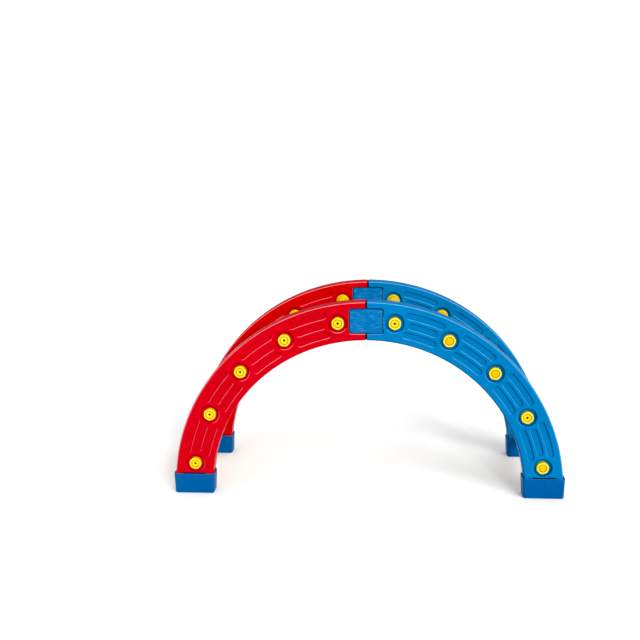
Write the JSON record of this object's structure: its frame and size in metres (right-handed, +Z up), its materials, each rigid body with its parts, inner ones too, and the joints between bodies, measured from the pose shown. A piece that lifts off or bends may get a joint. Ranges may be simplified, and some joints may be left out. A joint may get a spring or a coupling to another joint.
{
  "type": "climbing arch",
  "caption": "Half-circle climbing arch of two bolted ladder halves, with hollow curved side beams, fluted rungs, crown connectors and slip-on feet",
  "frame": {"origin": "on the floor, under the middle of the arch", "axes": "+Z up, +X along the span towards the blue half, the front side at -Y"},
  "size_m": [1.2082, 0.3822, 0.615],
  "materials": {
    "red_plastic": "moulded, satin gloss, fine grain",
    "blue_plastic": "moulded, satin gloss, fine grain",
    "yellow_plastic": "moulded, satin gloss",
    "orange_plastic": "moulded, satin gloss",
    "dark_blue_plastic": "moulded, matt, soft grip"
  },
  "bodies": {
    "arch_frame": {"red_front_beam": "red_plastic", "red_rear_beam": "red_plastic", "blue_front_beam": "blue_plastic", "blue_rear_beam": "blue_plastic", "red_rung_1": "yellow_plastic", "red_rung_2": "yellow_plastic", "red_rung_3": "yellow_plastic", "red_rung_4": "yellow_plastic", "red_rung_5": "yellow_plastic", "blue_rung_1": "yellow_plastic", "blue_rung_2": "yellow_plastic", "blue_rung_3": "yellow_plastic", "blue_rung_4": "yellow_plastic", "blue_rung_5": "yellow_plastic", "red_front_bolt_1": "yellow_plastic", "red_front_bolt_2": "yellow_plastic", "red_front_bolt_3": "yellow_plastic", "red_front_bolt_4": "yellow_plastic", "red_front_bolt_5": "yellow_plastic", "red_rear_bolt_1": "yellow_plastic", "red_rear_bolt_2": "yellow_plastic", "red_rear_bolt_3": "yellow_plastic", "red_rear_bolt_4": "yellow_plastic", "red_rear_bolt_5": "yellow_plastic", "blue_front_bolt_1": "yellow_plastic", "blue_front_bolt_2": "yellow_plastic", "blue_front_bolt_3": "yellow_plastic", "blue_front_bolt_4": "yellow_plastic", "blue_front_bolt_5": "yellow_plastic", "blue_rear_bolt_1": "yellow_plastic", "blue_rear_bolt_2": "yellow_plastic", "blue_rear_bolt_3": "yellow_plastic", "blue_rear_bolt_4": "yellow_plastic", "blue_rear_bolt_5": "yellow_plastic", "blue_front_plug_1": "orange_plastic", "blue_front_plug_3": "orange_plastic", "blue_front_plug_4": "orange_plastic"},
    "red_front_foot": {"red_front_foot": "dark_blue_plastic"},
    "red_rear_foot": {"red_rear_foot": "dark_blue_plastic"},
    "blue_front_foot": {"blue_front_foot": "dark_blue_plastic"},
    "blue_rear_foot": {"blue_rear_foot": "dark_blue_plastic"},
    "front_crown_connector": {"front_crown_connector": "dark_blue_plastic"},
    "rear_crown_connector": {"rear_crown_connector": "dark_blue_plastic"}
  },
  "joints": [
    {"name": "red_front_foot_slide", "type": "slide", "parent": "arch_frame", "child": "red_front_foot", "axis": [0, 0, -1], "range_m": [0, 0.065]},
    {"name": "red_rear_foot_slide", "type": "slide", "parent": "arch_frame", "child": "red_rear_foot", "axis": [0, 0, -1], "range_m": [0, 0.065]},
    {"name": "blue_front_foot_slide", "type": "slide", "parent": "arch_frame", "child": "blue_front_foot", "axis": [0, 0, -1], "range_m": [0, 0.065]},
    {"name": "blue_rear_foot_slide", "type": "slide", "parent": "arch_frame", "child": "blue_rear_foot", "axis": [0, 0, -1], "range_m": [0, 0.065]},
    {"name": "front_crown_connector_slide", "type": "slide", "parent": "arch_frame", "child": "front_crown_connector", "axis": [0, 1, 0], "range_m": [0, 0.06]},
    {"name": "rear_crown_connector_slide", "type": "slide", "parent": "arch_frame", "child": "rear_crown_connector", "axis": [0, -1, 0], "range_m": [0, 0.06]}
  ]
}
